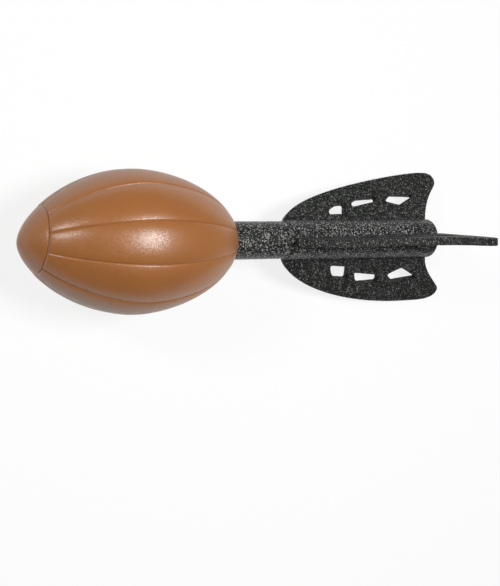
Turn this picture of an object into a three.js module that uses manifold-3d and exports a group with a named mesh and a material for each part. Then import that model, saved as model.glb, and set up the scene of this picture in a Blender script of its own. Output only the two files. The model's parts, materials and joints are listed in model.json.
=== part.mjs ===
// Vortex throwing toy: a foam ball head on a finned foam tail, lying at rest on a floor.
// Millimetres, +Z up. The toy is first built about its own axis, which is +X from the nose tip
// to the tail, with one fin pointing up, and then laid down on its belly and two fin tips.

import * as THREE from "three";
import { mergeVertices } from "three/addons/utils/BufferGeometryUtils.js";
import Module from "manifold-3d";

const wasm = await Module();
wasm.setup();

// Clearances and steps
const gap = 0.3;
const overrun = 5;
const roundSteps = 64;
const weld = 0.0005;

// Head: two halves that meet at the widest section, each a superellipse
const headRadius = 45;
const noseLength = 72.8;
const rearLength = 72.9;
const noseCurveExponent = 1.76;
const noseFullnessExponent = 0.635;
const rearCurveExponent = 1.8;
const rearFullnessExponent = 0.5;
const noseRows = 15;
const rearRows = 17;

// Ten moulded panels with a seam groove between each two
const panelCount = 10;
const panelColumns = 6;
const panelCrown = 1.2;
const seamWidth = 2.8;
const seamDepth = 0.7;

// Nose cap, with a groove all round its edge and a stem in the head
const capLength = 13.5;
const capRows = 9;
const ringWidth = 2.6;
const ringDepth = 0.8;
const stemRadius = 7;
const stemLength = 9;

// Stiffening tube from the head to the end of the tail, with its flange and plugs
const tubeRadius = 8;
const tubeWall = 1.5;
const tubeStart = 34;
const plugLength = 8;
const plugFlange = 1.5;
const flangeRadius = 20;
const flangeThickness = 2.5;
const flangePlace = 44;

// Tail shaft, a foam sleeve that is seated in the head
const shaftRadius = 12.3;
const shaftShown = 42.9;
const socketDepth = 16;

// Fin hub, a slightly thicker foam sleeve with a whole end disc
const hubLength = 120.5;
const hubFrontRadius = 13;
const hubRearRadius = 13.4;
const hubEndWall = 9;
const hubEdgeRound = 1.2;

// Fins, cut from foam board
const finCount = 3;
const finThickness = 5.4;
const finReach = 51.7;
const finTipRadius = 45;
const finRootOverhang = 1.5;
const finCrestOverhang = 10;
const finTipOverhang = 24.4;
const finCurveSteps = 24;
const tongueDepth = 3.2;
const tongueEnd = 7;
const holeCorner = 1.6;
const holeCornerSteps = 4;

// Handles of the fin outline's curves: shares of the hub's length along it, and of the blade's height
const leadHandleShares = [0.02, 0.35];
const crestHandleShare = 0.54;
const tipHandleShares = [0.075, 0.114];
const trailHandleShares = [0.051, 0.405];

// Corners of each fin's three holes: shares of the hub's length along it, and of the blade's height
const frontHoleShares = [[0.345, 0.15], [0.462, 0.177], [0.489, 0.423], [0.418, 0.415], [0.361, 0.28]];
const middleHoleShares = [[0.529, 0.312], [0.709, 0.397], [0.726, 0.54], [0.66, 0.55], [0.593, 0.535], [0.543, 0.44]];
const rearHoleShares = [[0.777, 0.397], [0.87, 0.29], [1.015, 0.522], [0.845, 0.575]];

// Places that follow from the sizes above
const headFront = capLength + gap / 2;
const capBack = capLength - gap / 2;
const capEdgeRadius = headRadiusAt(capLength);
const socketRadius = shaftRadius + gap;
const headEnd = headAxialAt(socketRadius, 1);
const shaftStart = headEnd - socketDepth;
const hubStart = headEnd + shaftShown;
const hubEnd = hubStart + hubLength;
const tubeBore = tubeRadius - tubeWall;
const tubeEnd = hubEnd - hubEndWall - plugFlange - 2 * gap;
const tongueRadius = hubFrontRadius - tongueDepth;
const tongueStop = hubEnd - tongueEnd;
const bladeRoot = hubRearRadius + gap;
const bladeHeight = finReach - bladeRoot;

// Finishes
const brownSkin = new THREE.MeshStandardMaterial({ color: 0xa4683c, roughness: 0.45, metalness: 0 });
const blackFoam = new THREE.MeshStandardMaterial({ color: 0x2c2e2b, roughness: 0.85, metalness: 0 });
const palePlastic = new THREE.MeshStandardMaterial({ color: 0xd8d6cd, roughness: 0.5, metalness: 0 });

// Radius of the head, without its panels, at a distance from the nose tip
function headRadiusAt(axial) {
  const onNose = axial < noseLength;
  const share = onNose ? (noseLength - axial) / noseLength : (axial - noseLength) / rearLength;
  const curve = onNose ? noseCurveExponent : rearCurveExponent;
  const fullness = onNose ? noseFullnessExponent : rearFullnessExponent;
  return headRadius * (1 - share ** curve) ** fullness;
}

// Distance from the nose tip at which the head has a radius: side is -1 on the nose half, 1 on the rear
function headAxialAt(radius, side) {
  const curve = side < 0 ? noseCurveExponent : rearCurveExponent;
  const fullness = side < 0 ? noseFullnessExponent : rearFullnessExponent;
  const length = side < 0 ? noseLength : rearLength;
  const share = (1 - (radius / headRadius) ** (1 / fullness)) ** (1 / curve);
  return noseLength + side * length * share;
}

// A geometry with shared vertices and no flat triangles, as a solid for joining and cutting
function solidOf(geometry) {
  const merged = weldedMesh(geometry);
  const mesh = new wasm.Mesh({
    numProp: 3,
    vertProperties: new Float32Array(merged.attributes.position.array),
    triVerts: new Uint32Array(merged.index.array),
  });
  return new wasm.Manifold(mesh);
}

function weldedMesh(geometry) {
  geometry.deleteAttribute("normal");
  geometry.deleteAttribute("uv");
  const merged = mergeVertices(geometry, weld);
  const corners = merged.index.array;
  const kept = [];
  for (let i = 0; i < corners.length; i += 3) {
    const [a, b, c] = [corners[i], corners[i + 1], corners[i + 2]];
    if (a !== b && b !== c && c !== a) {
      kept.push(a, b, c);
    }
  }
  merged.setIndex(kept);
  return merged;
}

function geometryOf(solid) {
  const mesh = solid.getMesh();
  const geometry = new THREE.BufferGeometry();
  geometry.setAttribute("position", new THREE.BufferAttribute(new Float32Array(mesh.vertProperties), mesh.numProp));
  geometry.setIndex(new THREE.BufferAttribute(new Uint32Array(mesh.triVerts), 1));
  return geometry;
}

// A body turned about the toy's axis from pairs of [distance from the nose tip, radius],
// which run from the nose to the tail along the outside and back along any bore
function turned(profile) {
  const points = profile.map(([axial, radius]) => new THREE.Vector2(radius, axial));
  const geometry = new THREE.LatheGeometry(points, roundSteps);
  geometry.rotateZ(-Math.PI / 2);
  return weldedMesh(geometry);
}

function rod(start, end, radius) {
  return turned([[start, 0], [start, radius], [end, radius], [end, 0]]);
}

function sleeve(start, end, outerRadius, boreRadius) {
  return turned([
    [start, boreRadius],
    [start, outerRadius],
    [end, outerRadius],
    [end, boreRadius],
    [start, boreRadius],
  ]);
}

function named(name, geometry, material) {
  geometry.computeVertexNormals();
  const mesh = new THREE.Mesh(geometry, material);
  mesh.name = name;
  return mesh;
}

// Rows of the head's outside as pairs of [distance from the nose tip, radius], with the ring groove's
// flank first and the rim of the tail socket last
function headRows() {
  const flankEnd = capLength + ringWidth / 2;
  const rows = [[headFront, capEdgeRadius - ringDepth]];
  const firstAngle = Math.acos(headRadiusAt(flankEnd) / headRadius);
  for (let i = 0; i <= noseRows; i += 1) {
    const radius = headRadius * Math.cos(firstAngle * (1 - i / noseRows));
    rows.push([headAxialAt(radius, -1), radius]);
  }
  const lastAngle = Math.acos(socketRadius / headRadius);
  for (let i = 1; i <= rearRows; i += 1) {
    const radius = headRadius * Math.cos((lastAngle * i) / rearRows);
    rows.push([headAxialAt(radius, 1), radius]);
  }
  return rows;
}

// Angles and drops below the plain surface across one panel, from its seam's middle to the next seam
function panelSection(radius) {
  const panelAngle = (2 * Math.PI) / panelCount;
  const edgeAngle = seamWidth / 2 / radius;
  const crown = panelCrown * (radius / headRadius);
  const section = [[0, crown + seamDepth]];
  for (let i = 0; i <= panelColumns; i += 1) {
    const across = i / panelColumns;
    const angle = edgeAngle + (panelAngle - 2 * edgeAngle) * across;
    section.push([angle, crown * (2 * across - 1) ** 2]);
  }
  return section;
}

// The head's outside with its panels, closed by a flat disc at each end
function panelledBody() {
  const rows = headRows();
  const points = [];
  for (const [axial, radius] of rows) {
    for (let panel = 0; panel < panelCount; panel += 1) {
      const seamAngle = ((2 * panel + 1) * Math.PI) / panelCount;
      for (const [angle, drop] of panelSection(radius)) {
        const lowered = radius - drop;
        points.push(axial, lowered * Math.sin(seamAngle + angle), lowered * Math.cos(seamAngle + angle));
      }
    }
  }
  const columns = points.length / 3 / rows.length;
  const corners = [];
  for (let row = 0; row < rows.length - 1; row += 1) {
    for (let column = 0; column < columns; column += 1) {
      const next = (column + 1) % columns;
      const here = row * columns;
      const beyond = here + columns;
      corners.push(here + column, here + next, beyond + column);
      corners.push(here + next, beyond + next, beyond + column);
    }
  }
  const lastRow = (rows.length - 1) * columns;
  const noseMiddle = points.length / 3;
  points.push(rows[0][0], 0, 0);
  const tailMiddle = points.length / 3;
  points.push(rows.at(-1)[0], 0, 0);
  for (let column = 0; column < columns; column += 1) {
    const next = (column + 1) % columns;
    corners.push(noseMiddle, next, column);
    corners.push(tailMiddle, lastRow + column, lastRow + next);
  }
  const geometry = new THREE.BufferGeometry();
  geometry.setAttribute("position", new THREE.Float32BufferAttribute(points, 3));
  geometry.setIndex(corners);
  return outwards(geometry);
}

// The same closed mesh with its faces pointing out
function outwards(geometry) {
  const place = geometry.attributes.position;
  const corners = geometry.index.array;
  const [a, b, c] = [new THREE.Vector3(), new THREE.Vector3(), new THREE.Vector3()];
  let volume = 0;
  for (let i = 0; i < corners.length; i += 3) {
    a.fromBufferAttribute(place, corners[i]);
    b.fromBufferAttribute(place, corners[i + 1]);
    c.fromBufferAttribute(place, corners[i + 2]);
    volume += a.dot(b.cross(c));
  }
  if (volume < 0) {
    geometry.setIndex([...corners].reverse());
  }
  return geometry;
}

// Head: panelled foam, bored from the rear for the tube, its flange and the shaft, and from the front
// for the nose cap's stem
function makeHead() {
  const boreRadius = tubeRadius + gap;
  const boreStart = tubeStart - plugFlange - 2 * gap;
  const rearBore = turned([
    [boreStart, 0],
    [boreStart, boreRadius],
    [flangePlace - gap, boreRadius],
    [flangePlace - gap, flangeRadius + gap],
    [flangePlace + flangeThickness + gap, flangeRadius + gap],
    [flangePlace + flangeThickness + gap, boreRadius],
    [shaftStart - gap, boreRadius],
    [shaftStart - gap, socketRadius],
    [headEnd + overrun, socketRadius],
    [headEnd + overrun, 0],
  ]);
  const stemBore = rod(headFront - overrun, capBack + stemLength + gap, stemRadius + gap);
  const body = solidOf(panelledBody()).subtract(solidOf(rearBore)).subtract(solidOf(stemBore));
  return named("head", geometryOf(body), brownSkin);
}

// Nose cap: the plain front of the head inside the ring groove, on a stem
function makeNoseCap() {
  const flankStart = capLength - ringWidth / 2;
  const flankRadius = headRadiusAt(flankStart);
  const profile = [[0, 0]];
  for (let i = 1; i <= capRows; i += 1) {
    const radius = flankRadius * Math.sin(((Math.PI / 2) * i) / capRows);
    profile.push([headAxialAt(radius, -1), radius]);
  }
  profile.push([capBack, capEdgeRadius - ringDepth]);
  profile.push([capBack, stemRadius]);
  profile.push([capBack + stemLength, stemRadius]);
  profile.push([capBack + stemLength, 0]);
  return named("nose_cap", turned(profile), brownSkin);
}

// Stiffening tube, its flange moulded into the head, and a plug with a rim in each end
function makeCore() {
  const tube = sleeve(tubeStart, tubeEnd, tubeRadius, tubeBore);
  const flangeEnd = flangePlace + flangeThickness;
  const flange = sleeve(flangePlace, flangeEnd, flangeRadius, tubeRadius + gap);
  const plugRadius = tubeBore - gap;
  const frontPlug = turned([
    [tubeStart - gap - plugFlange, 0],
    [tubeStart - gap - plugFlange, tubeRadius],
    [tubeStart - gap, tubeRadius],
    [tubeStart - gap, plugRadius],
    [tubeStart + plugLength, plugRadius],
    [tubeStart + plugLength, 0],
  ]);
  const rearPlug = turned([
    [tubeEnd - plugLength, 0],
    [tubeEnd - plugLength, plugRadius],
    [tubeEnd + gap, plugRadius],
    [tubeEnd + gap, tubeRadius],
    [tubeEnd + gap + plugFlange, tubeRadius],
    [tubeEnd + gap + plugFlange, 0],
  ]);
  return [
    named("core_tube", tube, palePlastic),
    named("anchor_flange", flange, palePlastic),
    named("front_tube_plug", frontPlug, palePlastic),
    named("rear_tube_plug", rearPlug, palePlastic),
  ];
}

function makeShaft() {
  return named("tail_shaft", sleeve(shaftStart, hubStart - gap, shaftRadius, tubeRadius + gap), blackFoam);
}

// Fin hub: a tapered sleeve with a closed rear end, slotted from its front for the fins' tongues
function makeHub() {
  const boreRadius = tubeRadius + gap;
  const boreEnd = hubEnd - hubEndWall;
  const profile = [[hubStart, boreRadius], [hubStart, hubFrontRadius]];
  const edgeSteps = 3;
  for (let i = 0; i <= edgeSteps; i += 1) {
    const angle = ((Math.PI / 2) * i) / edgeSteps;
    const axial = hubEnd - hubEdgeRound * (1 - Math.sin(angle));
    profile.push([axial, hubRearRadius - hubEdgeRound * (1 - Math.cos(angle))]);
  }
  profile.push([hubEnd, 0], [boreEnd, 0], [boreEnd, boreRadius], [hubStart, boreRadius]);
  let body = solidOf(turned(profile));
  const slotLength = overrun + tongueStop - hubStart + gap;
  const slotHeight = tongueDepth + gap + overrun;
  for (let fin = 0; fin < finCount; fin += 1) {
    const slot = new THREE.BoxGeometry(slotLength, finThickness + 2 * gap, slotHeight);
    slot.translate(hubStart - overrun + slotLength / 2, 0, tongueRadius - gap + slotHeight / 2);
    slot.rotateX((2 * Math.PI * fin) / finCount);
    body = body.subtract(solidOf(slot));
  }
  return named("fin_hub", geometryOf(body), blackFoam);
}

// A closed path of straight sides with its corners rounded off
function roundedPath(corners, radius) {
  const points = corners.flatMap((corner, i) => {
    const before = corners.at(i - 1);
    const after = corners[(i + 1) % corners.length];
    const start = corner.clone().lerp(before, Math.min(radius / corner.distanceTo(before), 1 / 2));
    const end = corner.clone().lerp(after, Math.min(radius / corner.distanceTo(after), 1 / 2));
    return new THREE.QuadraticBezierCurve(start, corner, end).getPoints(holeCornerSteps);
  });
  return new THREE.Path(points);
}

function holePath(shares) {
  const corners = shares.map(
    ([along, up]) => new THREE.Vector2(hubStart + along * hubLength, bladeRoot + up * bladeHeight),
  );
  return roundedPath(corners, holeCorner);
}

// Fin outline: x is the distance from the nose tip and y the distance from the axis
function finOutline() {
  const crest = new THREE.Vector2(hubEnd + finCrestOverhang, finReach);
  const tip = new THREE.Vector2(hubEnd + finTipOverhang, finTipRadius);
  const root = new THREE.Vector2(hubEnd + finRootOverhang, bladeRoot);
  const handle = ([along, up]) => new THREE.Vector2(along * hubLength, up * bladeHeight);
  const lead = handle(leadHandleShares).add(new THREE.Vector2(hubStart, hubFrontRadius));
  const beforeCrest = crest.clone().sub(handle([crestHandleShare, 0]));
  const afterCrest = crest.clone().add(handle([tipHandleShares[0], 0]));
  const aboveTip = tip.clone().add(handle([0, tipHandleShares[1]]));
  const belowTip = tip.clone().sub(handle([0, tipHandleShares[1]]));
  const trail = root.clone().add(handle(trailHandleShares));
  const outline = new THREE.Shape();
  outline.moveTo(hubStart, tongueRadius);
  outline.lineTo(hubStart, hubFrontRadius);
  outline.bezierCurveTo(...lead, ...beforeCrest, ...crest);
  outline.bezierCurveTo(...afterCrest, ...aboveTip, ...tip);
  outline.bezierCurveTo(...belowTip, ...trail, ...root);
  outline.lineTo(tongueStop, bladeRoot);
  outline.lineTo(tongueStop, tongueRadius);
  outline.closePath();
  return outline;
}

function makeFin(name, fin) {
  const outline = finOutline();
  outline.holes.push(holePath(frontHoleShares), holePath(middleHoleShares), holePath(rearHoleShares));
  const board = new THREE.ExtrudeGeometry(outline, {
    depth: finThickness,
    bevelEnabled: false,
    curveSegments: finCurveSteps,
  });
  board.translate(0, 0, -finThickness / 2);
  board.rotateX(Math.PI / 2);
  const mesh = named(name, weldedMesh(board), blackFoam);
  mesh.rotation.x = (2 * Math.PI * fin) / finCount;
  return mesh;
}

// How far the head's belly and the two lower fins reach below the axis when the tail is lowered
function reachBelow(tilt) {
  const lowerFinShare = Math.cos(Math.PI / finCount);
  const edgeShare = Math.sin(Math.PI / finCount);
  const below = (axial, radius) => radius * Math.cos(tilt) + axial * Math.sin(tilt);
  const belly = Math.max(...headRows().map(([axial, radius]) => below(axial, radius)));
  const edge = (finThickness / 2) * edgeShare;
  const outline = finOutline().getPoints(finCurveSteps);
  const fins = Math.max(...outline.map((point) => below(point.x, point.y * lowerFinShare + edge)));
  return [belly, fins];
}

// The tail-down angle at which the belly and the lower fins meet the floor together
function restTilt() {
  let [level, steep] = [0, Math.PI / finCount];
  const halvings = 40;
  for (let i = 0; i < halvings; i += 1) {
    const tilt = (level + steep) / 2;
    const [belly, fins] = reachBelow(tilt);
    if (fins < belly) {
      level = tilt;
    } else {
      steep = tilt;
    }
  }
  return (level + steep) / 2;
}

const toy = new THREE.Group();
toy.add(makeHead(), makeNoseCap(), ...makeCore(), makeShaft(), makeHub());
["top_fin", "left_fin", "right_fin"].forEach((name, fin) => toy.add(makeFin(name, fin)));
toy.rotation.y = restTilt();
toy.updateMatrixWorld(true);

// The frame's origin lies on the floor under the middle of the toy
const bounds = new THREE.Box3().setFromObject(toy, true);
const middle = bounds.getCenter(new THREE.Vector3());
toy.position.set(-middle.x, -middle.y, -bounds.min.z);

const part = new THREE.Group();
part.add(toy);
part.updateMatrixWorld(true);

export default part;
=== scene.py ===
"""Vortex throwing toy: a brown foam ball on a black foam tail with three fins, lying on a pale floor.

The pieces are modelled in millimetres about the toy's own axis: x runs from the nose tip to the
tail and z towards the top fin. TOY carries them into the frame, which is in metres.
"""
import json
import math

import bpy
import numpy as np
from mathutils import Matrix, Vector, noise
from mathutils.geometry import interpolate_bezier


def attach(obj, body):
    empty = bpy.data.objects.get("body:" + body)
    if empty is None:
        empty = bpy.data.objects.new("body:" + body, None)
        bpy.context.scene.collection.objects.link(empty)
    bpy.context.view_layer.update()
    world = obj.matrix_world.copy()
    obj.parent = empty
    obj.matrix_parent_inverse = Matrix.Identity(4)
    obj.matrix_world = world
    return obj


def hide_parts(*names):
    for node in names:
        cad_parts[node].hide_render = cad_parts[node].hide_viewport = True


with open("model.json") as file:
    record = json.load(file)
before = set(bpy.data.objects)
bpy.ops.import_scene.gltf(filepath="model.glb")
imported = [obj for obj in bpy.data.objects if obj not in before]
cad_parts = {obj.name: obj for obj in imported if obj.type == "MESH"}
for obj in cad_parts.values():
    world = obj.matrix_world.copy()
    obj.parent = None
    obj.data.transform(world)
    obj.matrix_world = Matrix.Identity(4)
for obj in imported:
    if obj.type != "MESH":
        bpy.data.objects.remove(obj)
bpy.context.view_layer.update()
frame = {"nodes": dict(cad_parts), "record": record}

MM = 0.001

# Sizes that the frame's solids have too
GAP = 0.3
HEAD_RADIUS = 45
NOSE_LENGTH, NOSE_CURVE, NOSE_FULLNESS = 72.8, 1.76, 0.635
REAR_LENGTH, REAR_CURVE, REAR_FULLNESS = 72.9, 1.8, 0.5
PANELS = 10
CAP_LENGTH = 13.5
STEM_RADIUS, STEM_LENGTH = 7, 9
TUBE_RADIUS, TUBE_START = 8, 34
PLUG_FLANGE = 1.5
FLANGE_RADIUS, FLANGE_THICKNESS, FLANGE_PLACE = 20, 2.5, 44
SHAFT_RADIUS, SHAFT_SHOWN = 12.3, 42.9
SOCKET_DEPTH = 16
HUB_LENGTH, HUB_FRONT_RADIUS, HUB_REAR_RADIUS = 120.5, 13, 13.4
HUB_END_WALL = 9
HUB_EDGE_ROUND = 1.2
FIN_COUNT = 3
FIN_THICKNESS = 5.4
FIN_REACH = 51.7
TONGUE_DEPTH, TONGUE_END = 3.2, 7

# The skin is finer than the solids: its grooves are narrower, its panels are flat in their middles and
# drop at the seams, and the ball's two curves are eased into each other at its girth. One seam is moulded
# a little to the side of its place. The ring groove is askew, and set back furthest at an angle from the
# top fin, and the panels stand proud of the cap behind it
SEAM_HALF_WIDTH = 1
SEAM_DEPTH = 0.5
RING_HALF_WIDTH = 1
RING_DEPTH = 0.5
PANEL_DROP, PANEL_CURVE = 0.9, 4
GIRTH_EASING, GIRTH_FADE = 6, 18
SEAM_SHIFTS = {9: math.radians(1.5)}
RING_SKEW, RING_SKEW_TURN = 2.7, math.radians(134)
CAP_DROP = 0.4

# The foam's grain as real relief: lumps with finer ones on them, which are a share of their height. A
# thin joint shows between the tail's pieces, whose edges are a little rounded
LUMP_SIZE = 1.7
FINE_LUMP_FACTOR, FINE_LUMP_SHARE = 2.1, 0.5
TAIL_LUMP_HEIGHT = 0.16
FIN_LUMP_HEIGHT = 0.07
TAIL_EDGE_ROUND = 0.1
JOINT_GAP = 0.05

# Fins: distances from the hub's front and from the axis. Foam takes a set in use, so that each side fin
# has an outline of its own: from the front of its root, the curve's handles and ends on the leading edge,
# the tip and the trailing edge
FIN_EDGES = {
    "top_fin": [(0, 15.5), (5, 27), (75, 51.7), (130.5, 51.7), (139.5, 51.7), (144.9, 49.4), (144.9, 45),
                (144.9, 40.6), (127.6, 29.1), (122, 13.7)],
    "left_fin": [(2.6, 13), (3.5, 26), (50.5, 54.4), (126.4, 51.5), (140, 51.3), (147.1, 49.5),
                 (147.1, 42.6), (147.1, 38.5), (127.8, 28), (123.6, 13.7)],
    "right_fin": [(2.6, 13), (12, 35), (101.6, 49.5), (121.6, 51.7), (135.4, 53.2), (143.9, 54),
                  (143.9, 46.1), (143.9, 39.6), (132.8, 37.8), (123, 13.7)],
}
FIN_HOLES = {
    "top_fin": [
        [(41.6, 19.4), (55.7, 20.4), (58.9, 29.8), (50.4, 29.5), (43.5, 24.3)],
        [(63.7, 25.6), (85.4, 28.8), (87.5, 34.2), (79.5, 34.6), (71.5, 34), (65.4, 30.4)],
        [(93.6, 28.8), (104.8, 24.7), (122.3, 33.5), (101.8, 35.5)],
    ],
    "left_fin": [
        [(42.9, 19.8), (58.2, 21.2), (60.9, 31.6), (51.2, 31), (45.7, 26)],
        [(65.5, 26.2), (87.2, 28.6), (89, 34.8), (81, 35.3), (72.7, 35.8), (68.2, 31.8)],
        [(95.2, 28.5), (105.7, 23), (124, 32.3), (103.2, 35.3)],
    ],
    "right_fin": [
        [(41.1, 18.1), (54.2, 18.8), (57.4, 27.4), (50.7, 26.8), (42.2, 21.8)],
        [(62.3, 24.2), (83.7, 28.5), (86.5, 32.6), (78, 32), (70.7, 31.5), (63.2, 28)],
        [(92.7, 28.8), (104.2, 25.9), (121.4, 34.5), (100.7, 35)],
    ],
}
# The top fin is set on askew, which is given as each root's offset at both ends of the hub. It and the
# right fin lean over: how far at their full height, at distances from the hub's front
FIN_SKEWS = {"top_fin": (-1.2, 1.2), "left_fin": (0, 0), "right_fin": (0, 0)}
LEAN_PLACES = (10, 36, 66, 105, 124, 145)
FIN_LEANS = {
    "top_fin": (-4.7, -2.6, -1.1, -1.7, -2.5, -3.2),
    "left_fin": (0, 0, 0, 0, 0, 0),
    "right_fin": (0, 0, 0, -0.4, -0.6, -0.6),
}
HOLE_CORNER = 1.6
FIN_EDGE_ROUND = 0.5

# How finely the meshes are divided
SHARP_ANGLE = math.radians(55)
GROOVE_SHARES = np.array([0.15, 0.35, 0.55, 0.75, 1.0])
BESIDE_SEAM_SHARES = np.array([0, 0.2, 0.4, 0.6, 0.8, 1.0, 1.3])
PANEL_COLUMNS = 22
HALF_BALL_RINGS = 95
EASING_SAMPLES = 9
CAP_COLUMNS, CAP_RINGS = 160, 44
GRAIN_STEP = 0.6
SLOT_FLOOR_COLUMNS, SLOT_WALL_STEPS = 10, 5
HUB_EDGE_TURNS = np.radians([30, 60, 90])
CURVE_POINTS, CORNER_POINTS = 28, 5
FIN_ROUND_STEPS = 2
FIN_VOXEL = 0.55

# Camera, fitted to the ball's seams and to the outline: the middle of the ball's axis, BALL_MIDDLE from
# the nose tip, is seen at a pixel of the frame, and there one pixel is PIXEL millimetres wide. The tail
# points away from the camera, and the toy is rolled in the picture and turned about its own axis
FRAME_WIDTH, FRAME_HEIGHT = 500, 586
PIXEL = 0.6117
MIDDLE_PIXEL = (131.46, 241.76)
BALL_MIDDLE = 73.65
FOCUS_PIXELS = 1252.8
SENSOR = 36
TAIL_AWAY = math.radians(31.6)
ROLL = math.radians(-2.17)
FIN_TURN = math.radians(-4.59)

# Lights: direction from the toy as the camera sees it (right, up, towards it), distance, width and height
# in metres, and power in watts
LIGHTS = {
    "window_light": ((0.7, 0.045, 0.71), 0.9, 0.26, 0.28, 5.9),
    "lamp_light": ((-0.36, 0.3, 0.89), 1.1, 0.2, 0.16, 3.4),
}

# The room's light overhead and at the horizon, and the height, as a share, at which it has become dim
ROOM_LIGHT, HORIZON_LIGHT, HORIZON_HEIGHT_SHARE = 0.06, 0.18, 0.3

# Floor: half its width in metres, its paint, and what shows it as white with the toy's shadow on it: a
# glow, and the shade that the lamps light
FLOOR_HALF_WIDTH = 15
FLOOR_PAINTS, FLOOR_CLOUD_SIZE, FLOOR_ROUGHNESS = (0.44, 0.46), 200, 0.9
FLOOR_GLOW, FLOOR_SHADE = 0.84, 0.18

# Finishes: linear colours, sizes in millimetres, and roughness from least to most. Foam has shades of
# grey for its dark, middling and pale granules, and a share of them is pale. The pale granules are partly
# the foam's own pale grains and partly painted glints: tiny highlights put into the colour
SKIN_COLOURS = ((0.4, 0.146, 0.037), (0.425, 0.157, 0.041))
SKIN_PATCH_SIZE, SKIN_PATCH_RANGE = 30, (0.35, 0.65)
SKIN_PEBBLE_SIZE, SKIN_PEBBLE_TILT = 0.7, 0.09
SKIN_ROUGHNESS, SKIN_SPECULAR = (0.33, 0.41), 0.9
CHARCOAL_TINT = (0.9, 1, 0.88)
# On the tail the pale granules are brighter, as they are partly painted glints
TAIL_FOAM = {
    "granule_size": 0.6,
    "tilt": 0.42,
    "shades": (0.008, 0.042, 0.54),
    "pale_and_glint_share": 0.22,
    "roughness": (0.2, 0.32),
    "specular": 0.14,
}
# On the fins too the pale granules are partly painted glints
FIN_FOAM = {
    "granule_size": 0.6,
    "tilt": 0.25,
    "shades": (0.006, 0.042, 0.28),
    "pale_and_glint_share": 0.18,
    "roughness": (0.45, 0.6),
    "specular": 0.11,
}
PLASTIC_COLOURS = ((0.64, 0.62, 0.56), (0.7, 0.68, 0.62))
PLASTIC_CLOUD_SIZE, PLASTIC_CLOUD_RANGE = 12, (0.3, 0.7)
PLASTIC_ROUGHNESS = (0.42, 0.52)
FINE_DETAIL, PLAIN_DETAIL = 3, 2
WHITE = (1, 1, 1, 1)

# Where a Mix node has its factor and its colours
MIX_COLOUR_INPUTS, MIX_COLOUR_OUTPUT = (0, 6, 7), 2


def head_radius(axial):
    """Radius of the ball, without its panels, at a distance from the nose tip."""
    nose_share = np.clip((NOSE_LENGTH - axial) / NOSE_LENGTH, 0, 1)
    rear_share = np.clip((axial - NOSE_LENGTH) / REAR_LENGTH, 0, 1)
    nose = (1 - nose_share**NOSE_CURVE) ** NOSE_FULLNESS
    return HEAD_RADIUS * nose * (1 - rear_share**REAR_CURVE) ** REAR_FULLNESS


def skin_radius(axial):
    """Radius of the ball, without its panels, with the faint ridge at its girth eased away."""
    reach = GIRTH_EASING * np.clip(1 - np.abs(axial - NOSE_LENGTH) / GIRTH_FADE, 0, 1)
    shares = np.linspace(-1, 1, EASING_SAMPLES)
    return sum(head_radius(axial + share * reach) for share in shares) / EASING_SAMPLES


def nose_axial(radius):
    """Distance from the nose tip at which the front half of the ball has a radius."""
    share = (1 - (radius / HEAD_RADIUS) ** (1 / NOSE_FULLNESS)) ** (1 / NOSE_CURVE)
    return NOSE_LENGTH * (1 - share)


def rear_axial(radius):
    """Distance from the nose tip at which the rear half of the ball has a radius."""
    share = (1 - (radius / HEAD_RADIUS) ** (1 / REAR_FULLNESS)) ** (1 / REAR_CURVE)
    return NOSE_LENGTH + REAR_LENGTH * share


SOCKET_RADIUS = SHAFT_RADIUS + GAP
HEAD_END = rear_axial(SOCKET_RADIUS)
SHAFT_START = HEAD_END - SOCKET_DEPTH
HUB_START = HEAD_END + SHAFT_SHOWN
HUB_END = HUB_START + HUB_LENGTH
BORE_RADIUS = TUBE_RADIUS + GAP
TONGUE_RADIUS = HUB_FRONT_RADIUS - TONGUE_DEPTH
TONGUE_STOP = HUB_END - TONGUE_END
HALF_SLOT = FIN_THICKNESS / 2 + JOINT_GAP
SLOT_FLOOR_RADIUS = TONGUE_RADIUS - GAP
BLADE_ROOT = HUB_REAR_RADIUS + GAP


def toy_frame():
    """The toy's own axes, with the nose tip as their origin, from the mount in the tail's end face."""
    mount = frame["record"]["mounts"][0]
    along = Vector(mount["axis"]).normalized()
    side = Vector((0, 1, 0))
    placed = Matrix((along, side, along.cross(side))).transposed().to_4x4()
    placed.translation = Vector(mount["pos_m"]) - along * HUB_END * MM
    return placed


TOY = toy_frame()


# Meshes


def in_frame(points):
    """Points in millimetres about the toy's axis, as metres in the frame."""
    return np.asarray(points, float) * MM @ np.array(TOY.to_3x3()).T + np.array(TOY.translation)


def points_inwards(mesh):
    """Whether the mesh's faces point into it, from the sign of the volume that they enclose."""
    mesh.calc_loop_triangles()
    place = np.zeros(len(mesh.vertices) * 3)
    mesh.vertices.foreach_get("co", place)
    corners = np.zeros(len(mesh.loop_triangles) * 3, int)
    mesh.loop_triangles.foreach_get("vertices", corners)
    first, second, third = place.reshape(-1, 3)[corners.reshape(-1, 3)].transpose(1, 0, 2)
    return float((first * np.cross(second, third)).sum()) < 0


def mesh_object(name, points, faces):
    """An object from points about the toy's axis, with its faces pointing out and shaded smooth."""
    mesh = bpy.data.meshes.new(name)
    mesh.from_pydata(in_frame(points).tolist(), [], faces)
    mesh.validate()
    if points_inwards(mesh):
        mesh.flip_normals()
    mesh.shade_smooth()
    mesh.set_sharp_from_angle(angle=SHARP_ANGLE)
    made = bpy.data.objects.new(name, mesh)
    bpy.context.scene.collection.objects.link(made)
    return made


def ring_faces(count, columns, looped=False):
    """Quads between neighbouring rings of points. Looped, the last ring also joins the first."""
    faces = []
    for row in range(count if looped else count - 1):
        here = row * columns
        beyond = (row + 1) % count * columns
        for column in range(columns):
            beside = (column + 1) % columns
            faces.append((here + column, here + beside, beyond + beside, beyond + column))
    return faces


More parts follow.
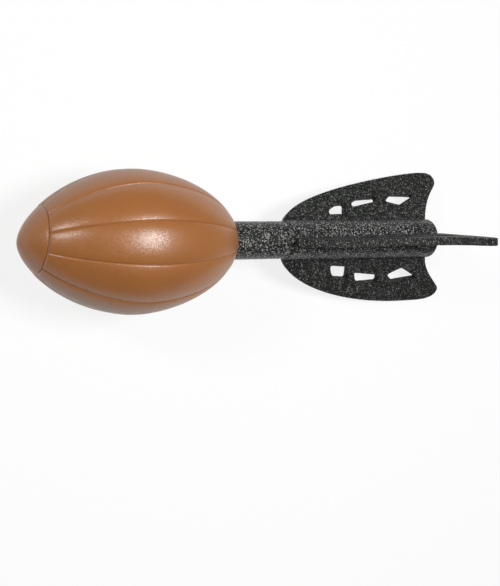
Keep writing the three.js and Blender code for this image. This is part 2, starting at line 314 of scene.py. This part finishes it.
def body_of_rings(name, rings):
    """A closed body whose first and last rings of points each close in their middle."""
    rings = np.asarray(rings)
    count, columns = rings.shape[:2]
    points = np.vstack([rings.reshape(-1, 3), rings[0].mean(0), rings[-1].mean(0)])
    faces = ring_faces(count, columns)
    first_middle = count * columns
    last_row = first_middle - columns
    for column in range(columns):
        beside = (column + 1) % columns
        faces.append((first_middle, beside, column))
        faces.append((first_middle + 1, last_row + column, last_row + beside))
    return mesh_object(name, points, faces)


def sleeve_of_rings(name, rings):
    """A closed body with a bore: the last ring of points joins the first."""
    rings = np.asarray(rings)
    count, columns = rings.shape[:2]
    return mesh_object(name, rings.reshape(-1, 3), ring_faces(count, columns, looped=True))


def ring(axial, radius, angles):
    """Points round the axis. Angles are measured from the top fin."""
    radius = np.broadcast_to(radius, angles.shape)
    return np.column_stack([np.full(angles.shape, axial), radius * np.sin(angles), radius * np.cos(angles)])


def even_angles(columns):
    """Angles round the whole axis."""
    return np.linspace(0, 2 * math.pi, columns, endpoint=False)


def even_steps(start, end, spacing):
    """Places from start to end, about a spacing apart."""
    return np.linspace(start, end, max(round(abs(end - start) / spacing), 1) + 1)


def soft_groove(distance, half_width, depth):
    """Drop below the skin at a distance from the middle of a moulded groove with soft lips."""
    return depth * (1 - np.clip(np.abs(distance) / half_width, 0, 1)) ** 2


# Ball


def seam_angle(number):
    """Where a seam lies round the ball, from the top fin."""
    return (number + 0.5) * 2 * math.pi / PANELS + SEAM_SHIFTS.get(number % PANELS, 0)


def panel_angles(radius, panel):
    """Angles across one panel from its first seam, close together in the grooves."""
    beside_seam = BESIDE_SEAM_SHARES * SEAM_HALF_WIDTH / radius
    middle = np.linspace(beside_seam[-1], panel - beside_seam[-1], PANEL_COLUMNS)
    return np.concatenate([beside_seam[:-1], middle, panel - beside_seam[-2:0:-1]])


def skewed(axial, angles):
    """Distances from the nose tip round the ball, with the ring groove's skew, which fades away from it."""
    fade = np.clip(min(axial / CAP_LENGTH, (NOSE_LENGTH - axial) / (NOSE_LENGTH - CAP_LENGTH)), 0, 1)
    return axial + RING_SKEW * fade * np.cos(angles - RING_SKEW_TURN)


def panelled_ring(axial, ring_drop):
    """One ring of the ball with its crowned panels and seam grooves."""
    panels = []
    for number in range(PANELS):
        panel = seam_angle(number + 1) - seam_angle(number)
        angles = panel_angles(head_radius(axial), panel)
        drop_share = (2 * angles / panel - 1) ** PANEL_CURVE
        turned = angles + seam_angle(number)
        places = skewed(axial, turned)
        radius = skin_radius(places)
        from_seam = np.minimum(angles, panel - angles) * radius
        drop = PANEL_DROP * radius / HEAD_RADIUS * drop_share + ring_drop
        seam_drop = soft_groove(from_seam, SEAM_HALF_WIDTH, SEAM_DEPTH)
        panels.append(ring(places, radius - drop - seam_drop, turned))
    return np.vstack(panels)


def bore_rings(profile, angles):
    """Rings of points from pairs of a distance from the nose tip and a radius."""
    return [ring(axial, radius, angles) for axial, radius in profile]


def skewed_rings(profile, angles):
    """The same, with the ring groove's skew."""
    return [ring(skewed(axial, angles), radius, angles) for axial, radius in profile]


def make_ball():
    """The panelled ball, with the stem's bore in its nose and the tail's and tube's bore in its rear."""
    outside = []
    for beside in GROOVE_SHARES * RING_HALF_WIDTH:
        ring_drop = float(soft_groove(beside, RING_HALF_WIDTH, RING_DEPTH))
        outside.append(panelled_ring(CAP_LENGTH + beside, ring_drop))
    first = math.acos(head_radius(CAP_LENGTH + RING_HALF_WIDTH) / HEAD_RADIUS)
    for turn in np.linspace(first, 0, HALF_BALL_RINGS)[1:]:
        outside.append(panelled_ring(nose_axial(HEAD_RADIUS * math.cos(turn)), 0))
    last = math.acos(SOCKET_RADIUS / HEAD_RADIUS)
    for turn in np.linspace(0, last, HALF_BALL_RINGS)[1:]:
        outside.append(panelled_ring(rear_axial(HEAD_RADIUS * math.cos(turn)), 0))
    front = CAP_LENGTH + GROOVE_SHARES[0] * RING_HALF_WIDTH
    stem_bore = [(CAP_LENGTH + STEM_LENGTH + GAP, STEM_RADIUS + GAP), (front, STEM_RADIUS + GAP)]
    flange_back = FLANGE_PLACE + FLANGE_THICKNESS + GAP
    tail_bore = [
        (HEAD_END, SOCKET_RADIUS),
        (SHAFT_START - GAP, SOCKET_RADIUS),
        (SHAFT_START - GAP, BORE_RADIUS),
        (flange_back, BORE_RADIUS),
        (flange_back, FLANGE_RADIUS + GAP),
        (FLANGE_PLACE - GAP, FLANGE_RADIUS + GAP),
        (FLANGE_PLACE - GAP, BORE_RADIUS),
        (TUBE_START - PLUG_FLANGE - 2 * GAP, BORE_RADIUS),
    ]
    angles = np.unwrap(np.arctan2(outside[0][:, 1], outside[0][:, 2]))
    rings = skewed_rings(stem_bore, angles) + outside + bore_rings(tail_bore, angles)
    return body_of_rings("ball_skin", rings)


def make_cap():
    """The plain front of the ball inside the ring groove, on its stem."""
    angles = even_angles(CAP_COLUMNS)
    cap_back = CAP_LENGTH - GAP / 2
    flank_radius = head_radius(CAP_LENGTH - RING_HALF_WIDTH)
    outside = []
    for turn in np.linspace(0, math.pi / 2, CAP_RINGS)[1:]:
        places = skewed(nose_axial(flank_radius * math.sin(turn)), angles)
        outside.append(ring(places, head_radius(places) - CAP_DROP * math.sin(turn), angles))
    for beside in GROOVE_SHARES[-2::-1] * RING_HALF_WIDTH:
        places = skewed(CAP_LENGTH - beside, angles)
        drop = CAP_DROP + soft_groove(beside, RING_HALF_WIDTH, RING_DEPTH)
        outside.append(ring(places, head_radius(places) - drop, angles))
    stem = [(cap_back, STEM_RADIUS), (cap_back + STEM_LENGTH, STEM_RADIUS)]
    return body_of_rings("nose_cap_skin", outside + skewed_rings(stem, angles))


# Tail


def lump(point):
    """Relief of the foam's grain at a point, between about -1 and 1."""
    place = Vector(point) / LUMP_SIZE
    return noise.noise(place) + FINE_LUMP_SHARE * noise.noise(place * FINE_LUMP_FACTOR)


def grained(points, grain_shares):
    """Points round the axis with the foam's grain on them, as far as each one's share allows."""
    outwards = points * np.array([0, 1, 1])
    outwards = outwards / np.linalg.norm(outwards, axis=1, keepdims=True)
    heights = np.array([lump(point) for point in points]) * TAIL_LUMP_HEIGHT * grain_shares
    return points + outwards * heights[:, None]


def make_shaft():
    """A foam sleeve on the tube, seated in the ball."""
    angles = even_angles(round(2 * math.pi * SHAFT_RADIUS / GRAIN_STEP))
    end = HUB_START - JOINT_GAP
    rings = [ring(SHAFT_START, BORE_RADIUS, angles), ring(SHAFT_START, SHAFT_RADIUS, angles)]
    for axial in even_steps(HEAD_END - TAIL_EDGE_ROUND, end - TAIL_EDGE_ROUND, GRAIN_STEP):
        rings.append(grained(ring(axial, SHAFT_RADIUS, angles), 1))
    rings.append(ring(end, SHAFT_RADIUS - TAIL_EDGE_ROUND, angles))
    rings.append(ring(end, BORE_RADIUS, angles))
    return sleeve_of_rings("tail_shaft_foam", rings)


def sway(fin_name, axial, radius):
    """How far a fin stands aside from its place at a distance from the nose tip and from the axis."""
    height_share = np.clip((radius - HUB_REAR_RADIUS) / (FIN_REACH - HUB_REAR_RADIUS), 0, 1)
    lean = np.interp(axial - HUB_START, LEAN_PLACES, FIN_LEANS[fin_name]) * height_share
    return lean + np.interp(axial, (HUB_START, HUB_END), FIN_SKEWS[fin_name])


def hub_slot(radius, middle):
    """A slot's section from lip to lip: a wall down to the floor under the fin's tongue, and a wall up."""
    left, right = middle - HALF_SLOT, middle + HALF_SLOT
    floor = np.linspace(left, right, SLOT_FLOOR_COLUMNS)
    down = np.linspace(math.sqrt(radius**2 - left**2), SLOT_FLOOR_RADIUS, SLOT_WALL_STEPS + 1)[:-1]
    back_up = np.linspace(SLOT_FLOOR_RADIUS, math.sqrt(radius**2 - right**2), SLOT_WALL_STEPS + 1)[1:]
    across = np.concatenate([np.full(SLOT_WALL_STEPS, left), floor, np.full(SLOT_WALL_STEPS, right)])
    return across, np.concatenate([down, np.full(SLOT_FLOOR_COLUMNS, SLOT_FLOOR_RADIUS), back_up])


def hub_ring(axial, radius, slotted):
    """One ring of the hub, which steps down to a slot for each fin's tongue where it is slotted."""
    third = 2 * math.pi / FIN_COUNT
    arc_steps = round((third * HUB_FRONT_RADIUS - FIN_THICKNESS) / GRAIN_STEP)
    middles = [sway(fin_name, axial, TONGUE_RADIUS) for fin_name in FIN_EDGES]
    points = []
    shares = []
    for fin, middle in enumerate(middles):
        lip = math.asin((middle + HALF_SLOT) / radius)
        next_lip = third + math.asin((middles[(fin + 1) % FIN_COUNT] - HALF_SLOT) / radius)
        across, up = hub_slot(radius, middle)
        if not slotted:
            turn = np.linspace(math.asin((middle - HALF_SLOT) / radius), lip, len(across))
            across, up = radius * np.sin(turn), radius * np.cos(turn)
        shares += [0 if slotted else 1] * len(across)
        arc = np.linspace(lip, next_lip, arc_steps)[1:-1]
        shares += [1] * len(arc)
        across = np.concatenate([across, radius * np.sin(arc)])
        up = np.concatenate([up, radius * np.cos(arc)])
        sine, cosine = math.sin(fin * third), math.cos(fin * third)
        places = np.full(len(across), axial)
        points.append(np.column_stack([places, across * cosine + up * sine, up * cosine - across * sine]))
    return grained(np.vstack(points), np.array(shares))


def make_hub():
    """A tapered foam sleeve with a whole end disc, slotted from its front for the fins' tongues."""
    rear_edge = HUB_END - HUB_EDGE_ROUND
    slot_end = TONGUE_STOP + GAP
    skin = [hub_ring(HUB_START, HUB_FRONT_RADIUS - TAIL_EDGE_ROUND, True)]
    angles = np.unwrap(np.arctan2(skin[0][:, 1], skin[0][:, 2]))
    taper = (HUB_REAR_RADIUS - HUB_FRONT_RADIUS) / HUB_LENGTH
    for axial in even_steps(HUB_START + TAIL_EDGE_ROUND, slot_end, GRAIN_STEP):
        skin.append(hub_ring(axial, HUB_FRONT_RADIUS + taper * (axial - HUB_START), True))
    for axial in even_steps(slot_end, rear_edge, GRAIN_STEP):
        skin.append(hub_ring(axial, HUB_FRONT_RADIUS + taper * (axial - HUB_START), False))
    for turn in HUB_EDGE_TURNS:
        radius = HUB_REAR_RADIUS - HUB_EDGE_ROUND * (1 - math.cos(turn))
        skin.append(ring(rear_edge + HUB_EDGE_ROUND * math.sin(turn), radius, angles))
    bore = bore_rings([(HUB_END - HUB_END_WALL, BORE_RADIUS), (HUB_START, BORE_RADIUS)], angles)
    end_disc = bore_rings([(HUB_END, HUB_REAR_RADIUS / 2)], angles)
    return body_of_rings("fin_hub_foam", bore + skin + end_disc)


def edge_points(start, handles, end):
    """A cubic curve's points without its last."""
    corners = [Vector((*place, 0)) for place in (start, *handles, end)]
    return [tuple(point)[:2] for point in interpolate_bezier(*corners, CURVE_POINTS)[:-1]]


def fin_outline(edges):
    """The board's outline with the tongue that sits in the hub's slot."""
    front, lead_1, lead_2, crest, tip_1, tip_2, tip, trail_1, trail_2, root = [
        (HUB_START + along, radius) for along, radius in edges
    ]
    outline = [(HUB_START, TONGUE_RADIUS)]
    outline += edge_points(front, (lead_1, lead_2), crest)
    outline += edge_points(crest, (tip_1, tip_2), tip)
    outline += edge_points(tip, (trail_1, trail_2), root)
    return outline + [root, (TONGUE_STOP, BLADE_ROOT), (TONGUE_STOP, TONGUE_RADIUS)]


def rounded_hole(corners):
    """A hole's outline: straight sides with rounded corners."""
    corners = [Vector((HUB_START + along, radius)) for along, radius in corners]
    outline = []
    for before, corner, after in zip(corners[-1:] + corners[:-1], corners, corners[1:] + corners[:1]):
        start = corner.lerp(before, min(HOLE_CORNER / (corner - before).length, 1 / 2))
        end = corner.lerp(after, min(HOLE_CORNER / (corner - after).length, 1 / 2))
        for share in np.linspace(0, 1, CORNER_POINTS):
            outline.append(start.lerp(corner, share).lerp(corner.lerp(end, share), share))
    return outline


def fin_board(name):
    """The fin's board as a mesh in the plane of its outline, in even small faces."""
    curve = bpy.data.curves.new(name, "CURVE")
    curve.dimensions = "2D"
    curve.fill_mode = "BOTH"
    curve.extrude = FIN_THICKNESS / 2 - FIN_EDGE_ROUND
    curve.bevel_depth = FIN_EDGE_ROUND
    curve.bevel_resolution = FIN_ROUND_STEPS
    curve.offset = -FIN_EDGE_ROUND
    outlines = [fin_outline(FIN_EDGES[name])] + [rounded_hole(corners) for corners in FIN_HOLES[name]]
    for outline in outlines:
        spline = curve.splines.new("POLY")
        spline.points.add(len(outline) - 1)
        for point, (along, radius) in zip(spline.points, outline):
            point.co = (along, radius, 0, 1)
        spline.use_cyclic_u = True
    flat = bpy.data.objects.new(name + "_board", curve)
    bpy.context.scene.collection.objects.link(flat)
    remesh = flat.modifiers.new("even_faces", "REMESH")
    remesh.mode = "VOXEL"
    remesh.voxel_size = FIN_VOXEL
    evaluated = flat.evaluated_get(bpy.context.evaluated_depsgraph_get())
    board = bpy.data.meshes.new_from_object(evaluated)
    bpy.data.objects.remove(flat)
    return board


def make_fin(name, turn):
    """A foam-board fin with its three cut-outs and a fine grain on it."""
    board = fin_board(name)
    place = np.zeros(len(board.vertices) * 3)
    normals = np.zeros(len(board.vertices) * 3)
    board.vertices.foreach_get("co", place)
    board.vertices.foreach_get("normal", normals)
    place, normals = place.reshape(-1, 3), normals.reshape(-1, 3)
    heights = np.array([lump(point) for point in place]) * FIN_LUMP_HEIGHT
    place = place + normals * heights[:, None]
    along, radius, across = place.T
    across = across + sway(name, along, radius)
    points = np.column_stack([
        along,
        across * math.cos(turn) - radius * math.sin(turn),
        across * math.sin(turn) + radius * math.cos(turn),
    ])
    faces = [tuple(face.vertices) for face in board.polygons]
    bpy.data.meshes.remove(board)
    return mesh_object(name + "_foam", points, faces)


# Materials


def new_material(name):
    """A material with its node tree, shader and the place of each point in metres."""
    material = bpy.data.materials.new(name)
    material.use_nodes = True
    tree = material.node_tree
    shader = tree.nodes["Principled BSDF"]
    place = tree.nodes.new("ShaderNodeTexCoord").outputs["Object"]
    return material, tree, shader, place


def add_node(tree, kind, inputs, **settings):
    """A node with its settings, its values and its links."""
    made = tree.nodes.new("ShaderNode" + kind)
    for name, value in settings.items():
        setattr(made, name, value)
    for name, value in inputs.items():
        if isinstance(value, bpy.types.NodeSocket):
            tree.links.new(value, made.inputs[name])
        else:
            made.inputs[name].default_value = value
    return made


def noise_value(tree, place, size, detail):
    """Noise with features of about a size."""
    inputs = {"Vector": place, "Scale": 1 / (size * MM), "Detail": detail}
    return add_node(tree, "TexNoise", inputs).outputs["Fac"]


def ramp(tree, value, low, high, low_to=0.0, high_to=1.0):
    """A value that runs from low to high, carried over to another range."""
    inputs = {"Value": value, "From Min": low, "From Max": high, "To Min": low_to, "To Max": high_to}
    return add_node(tree, "MapRange", inputs).outputs["Result"]


def blend_colour(tree, share, first, second):
    """A mix of two colours, each one a socket or a value."""
    made = tree.nodes.new("ShaderNodeMix")
    made.data_type = "RGBA"
    factor, first_colour, second_colour = (made.inputs[number] for number in MIX_COLOUR_INPUTS)
    tree.links.new(share, factor)
    for socket, value in ((first_colour, first), (second_colour, second)):
        if isinstance(value, bpy.types.NodeSocket):
            tree.links.new(value, socket)
        else:
            socket.default_value = (*value, 1)
    return made.outputs[MIX_COLOUR_OUTPUT]


def grey(shade):
    """A neutral colour."""
    return (shade,) * 3


def charcoal(shade):
    """The foam's colour, which is a trace greener than grey."""
    return tuple(tint * shade for tint in CHARCOAL_TINT)


def facets(tree, place, size, tilt):
    """Grains of about a size: their random shades, and a normal that leans at random from grain to grain."""
    cells = add_node(tree, "TexVoronoi", {"Vector": place, "Scale": 1 / (size * MM)})
    centring = {0: cells.outputs["Color"], 1: grey(1 / 2)}
    centred = add_node(tree, "VectorMath", centring, operation="SUBTRACT")
    lean = add_node(tree, "VectorMath", {0: centred.outputs[0], "Scale": tilt}, operation="SCALE")
    surface = tree.nodes.new("ShaderNodeNewGeometry").outputs["Normal"]
    leaning = add_node(tree, "VectorMath", {0: lean.outputs[0], 1: surface}, operation="ADD")
    normal = add_node(tree, "VectorMath", {0: leaning.outputs[0]}, operation="NORMALIZE").outputs[0]
    return add_node(tree, "SeparateColor", {"Color": cells.outputs["Color"]}).outputs, normal


def skin_material():
    """Satin brown foam skin, with a fine pebble that sparkles in the highlights."""
    material, tree, shader, place = new_material("satin_brown_skin")
    patches = ramp(tree, noise_value(tree, place, SKIN_PATCH_SIZE, FINE_DETAIL), *SKIN_PATCH_RANGE)
    tree.links.new(blend_colour(tree, patches, *SKIN_COLOURS), shader.inputs["Base Color"])
    pebble, normal = facets(tree, place, SKIN_PEBBLE_SIZE, SKIN_PEBBLE_TILT)
    tree.links.new(ramp(tree, pebble["Red"], 0, 1, *SKIN_ROUGHNESS), shader.inputs["Roughness"])
    tree.links.new(normal, shader.inputs["Normal"])
    shader.inputs["Specular IOR Level"].default_value = SKIN_SPECULAR
    return material


def foam_material(name, foam):
    """Charcoal foam of pressed granules that glint one by one, the pale ones partly as painted glints."""
    material, tree, shader, place = new_material(name)
    grain, normal = facets(tree, place, foam["granule_size"], foam["tilt"])
    dark, middling, pale = foam["shades"]
    ground = blend_colour(tree, grain["Red"], charcoal(dark), charcoal(middling))
    # Pale granules: partly the foam's own pale grains, partly painted glints
    pale_and_glint_mix = ramp(tree, grain["Green"], 1 - foam["pale_and_glint_share"], 1)
    tree.links.new(blend_colour(tree, pale_and_glint_mix, ground, grey(pale)), shader.inputs["Base Color"])
    tree.links.new(ramp(tree, grain["Blue"], 0, 1, *foam["roughness"]), shader.inputs["Roughness"])
    tree.links.new(normal, shader.inputs["Normal"])
    shader.inputs["Specular IOR Level"].default_value = foam["specular"]
    return material


def plastic_material():
    """Off-white moulded plastic of the core inside."""
    material, tree, shader, place = new_material("moulded_core_plastic")
    clouds = noise_value(tree, place, PLASTIC_CLOUD_SIZE, FINE_DETAIL)
    tree.links.new(blend_colour(tree, clouds, *PLASTIC_COLOURS), shader.inputs["Base Color"])
    roughness = ramp(tree, clouds, *PLASTIC_CLOUD_RANGE, *PLASTIC_ROUGHNESS)
    tree.links.new(roughness, shader.inputs["Roughness"])
    return material


def background_share(tree):
    """1 for the rays that show the background: from the camera, in a reflection or through glass."""
    path = tree.nodes.new("ShaderNodeLightPath").outputs
    seen = add_node(tree, "Math", {0: path["Is Camera Ray"], 1: path["Is Glossy Ray"]}, operation="MAXIMUM")
    inputs = {0: seen.outputs[0], 1: path["Is Transmission Ray"]}
    return add_node(tree, "Math", inputs, operation="MAXIMUM").outputs[0]


def floor_material():
    """Matt pale floor that shows as white and keeps the object's shadow."""
    material, tree, shader, place = new_material("pale_floor")
    background = background_share(tree)
    clouds = noise_value(tree, place, FLOOR_CLOUD_SIZE, PLAIN_DETAIL)
    paint = blend_colour(tree, clouds, *(grey(shade) for shade in FLOOR_PAINTS))
    base = blend_colour(tree, background, paint, grey(FLOOR_SHADE))
    tree.links.new(base, shader.inputs["Base Color"])
    shader.inputs["Roughness"].default_value = FLOOR_ROUGHNESS
    shader.inputs["Specular IOR Level"].default_value = 0
    shader.inputs["Emission Color"].default_value = WHITE
    tree.links.new(ramp(tree, background, 0, 1, 0, FLOOR_GLOW), shader.inputs["Emission Strength"])
    return material


# Stage


def make_floor():
    """A wide plain floor under the toy, in metres."""
    half = FLOOR_HALF_WIDTH
    corners = [(-half, -half, 0), (half, -half, 0), (half, half, 0), (-half, half, 0)]
    mesh = bpy.data.meshes.new("floor")
    mesh.from_pydata(corners, [], [(0, 1, 2, 3)])
    mesh.materials.append(floor_material())
    made = bpy.data.objects.new("floor", mesh)
    bpy.context.scene.collection.objects.link(made)


def make_world():
    """A room that is dim overhead and pale round the floor."""
    world = bpy.data.worlds.new("studio")
    world.use_nodes = True
    tree = world.node_tree
    direction = tree.nodes.new("ShaderNodeTexCoord").outputs["Generated"]
    height = add_node(tree, "SeparateXYZ", {"Vector": direction}).outputs["Z"]
    strength = ramp(tree, height, 0, HORIZON_HEIGHT_SHARE, HORIZON_LIGHT, ROOM_LIGHT)
    tree.links.new(strength, tree.nodes["Background"].inputs["Strength"])
    tree.nodes["Background"].inputs["Color"].default_value = WHITE
    bpy.context.scene.world = world


def camera_turn():
    """The camera's axes (right, up, back) in the frame: the toy lies turned and rolled before it."""
    roll = Matrix.Rotation(-ROLL, 3, "Z")
    away = Matrix.Rotation(TAIL_AWAY, 3, "Y")
    fin_turn = Matrix.Rotation(-FIN_TURN, 3, "X")
    return TOY.to_3x3() @ (roll @ away @ fin_turn).inverted()


def ball_middle():
    """The middle of the ball's axis in the frame."""
    return TOY @ Vector((BALL_MIDDLE * MM, 0, 0))


def make_camera():
    """Looks at the toy from the photograph's viewing angle, with the toy at its place in the frame."""
    data = bpy.data.cameras.new("camera")
    data.sensor_width = SENSOR
    data.lens = SENSOR * FOCUS_PIXELS / FRAME_HEIGHT
    right = (FRAME_WIDTH / 2 - MIDDLE_PIXEL[0]) * PIXEL * MM
    up = (MIDDLE_PIXEL[1] - FRAME_HEIGHT / 2) * PIXEL * MM
    back = FOCUS_PIXELS * PIXEL * MM
    camera = bpy.data.objects.new("camera", data)
    turn = camera_turn()
    place = ball_middle() + turn @ Vector((right, up, back))
    camera.matrix_world = Matrix.Translation(place) @ turn.to_4x4()
    bpy.context.scene.collection.objects.link(camera)
    bpy.context.scene.camera = camera


def make_lights():
    """Soft oblong lamps that face the ball."""
    turn = camera_turn()
    for name, (direction, distance, width, height, power) in LIGHTS.items():
        data = bpy.data.lights.new(name, "AREA")
        data.shape = "RECTANGLE"
        data.size = width
        data.size_y = height
        data.energy = power
        lamp = bpy.data.objects.new(name, data)
        towards = turn @ Vector(direction).normalized()
        up = towards.cross(turn.col[0]).normalized()
        facing = Matrix((up.cross(towards), up, towards)).transposed()
        lamp.matrix_world = Matrix.Translation(ball_middle() + towards * distance) @ facing.to_4x4()
        bpy.context.scene.collection.objects.link(lamp)


def dress(piece, slot, node):
    """The foam piece stands for a node of the frame, in one of the record's finishes."""
    piece.data.materials.append(FINISHES[slot])
    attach(piece, "root")
    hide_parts(node)


FINISHES = {
    "brown_foam_skin": skin_material(),
    "black_tail_foam": foam_material("glinting_tail_foam", TAIL_FOAM),
    "black_fin_foam": foam_material("matt_fin_foam", FIN_FOAM),
    "core_plastic": plastic_material(),
}

dress(make_ball(), "brown_foam_skin", "head")
dress(make_cap(), "brown_foam_skin", "nose_cap")
dress(make_shaft(), "black_tail_foam", "tail_shaft")
dress(make_hub(), "black_tail_foam", "fin_hub")
for number, fin_name in enumerate(FIN_EDGES):
    dress(make_fin(fin_name, 2 * math.pi * number / FIN_COUNT), "black_fin_foam", fin_name)
for node_name in ("core_tube", "anchor_flange", "front_tube_plug", "rear_tube_plug"):
    node = frame["nodes"][node_name]
    node.data.materials.clear()
    node.data.materials.append(FINISHES["core_plastic"])

make_floor()
make_world()
make_camera()
make_lights()
bpy.context.scene.view_settings.view_transform = "Standard"
